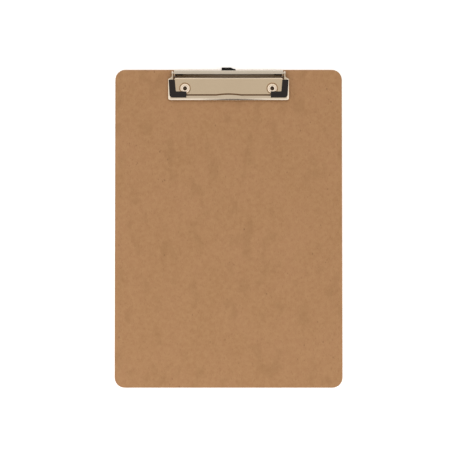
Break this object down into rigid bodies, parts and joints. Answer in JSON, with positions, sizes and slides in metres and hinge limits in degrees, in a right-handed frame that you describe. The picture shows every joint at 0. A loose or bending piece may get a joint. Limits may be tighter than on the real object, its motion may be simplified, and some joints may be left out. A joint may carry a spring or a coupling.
{
  "type": "clipboard",
  "caption": "Hardboard clipboard with a low-profile spring clip: hinged jaw with rubber corner grips on a riveted base plate, and a slide-out hanging tab.",
  "frame": {"origin": "centre of the board's flat back face", "axes": "+Z out of the board's front face, +Y along the length towards the clip, +X to the right"},
  "size_m": [0.225, 0.3167, 0.0094],
  "materials": {
    "hardboard": "smooth pressed fibre, dry",
    "nickel_plate": "bright nickel plate, slightly satin",
    "nickel_jaw": "bright nickel plate",
    "nickel_eyelet": "bright nickel plate",
    "steel_pin": "drawn steel",
    "spring_steel": "oiled spring wire",
    "grip_rubber": "matt moulded",
    "tab_plastic": "fine moulded texture"
  },
  "bodies": {
    "board_body": {"board": "hardboard", "base_plate": "nickel_plate", "eyelet_left": "nickel_eyelet", "eyelet_right": "nickel_eyelet", "hinge_pin": "steel_pin", "torsion_spring_left": "spring_steel", "torsion_spring_right": "spring_steel"},
    "jaw": {"jaw_frame": "nickel_jaw", "rubber_grip_left": "grip_rubber", "rubber_grip_right": "grip_rubber"},
    "hanger": {"hanging_tab": "tab_plastic"}
  },
  "joints": [
    {"name": "jaw_hinge", "type": "hinge", "parent": "board_body", "child": "jaw", "pos_m": [0, 0.1539, 0.006], "axis": [-1, 0, 0], "range_deg": [0, 50], "stiffness_Nm_per_rad": 0.4, "springref_deg": -68.75, "deforming": ["torsion_spring_left", "torsion_spring_right"]},
    {"name": "hanger_slide", "type": "slide", "parent": "board_body", "child": "hanger", "axis": [0, 1, 0], "range_m": [0, 0.016]}
  ]
}
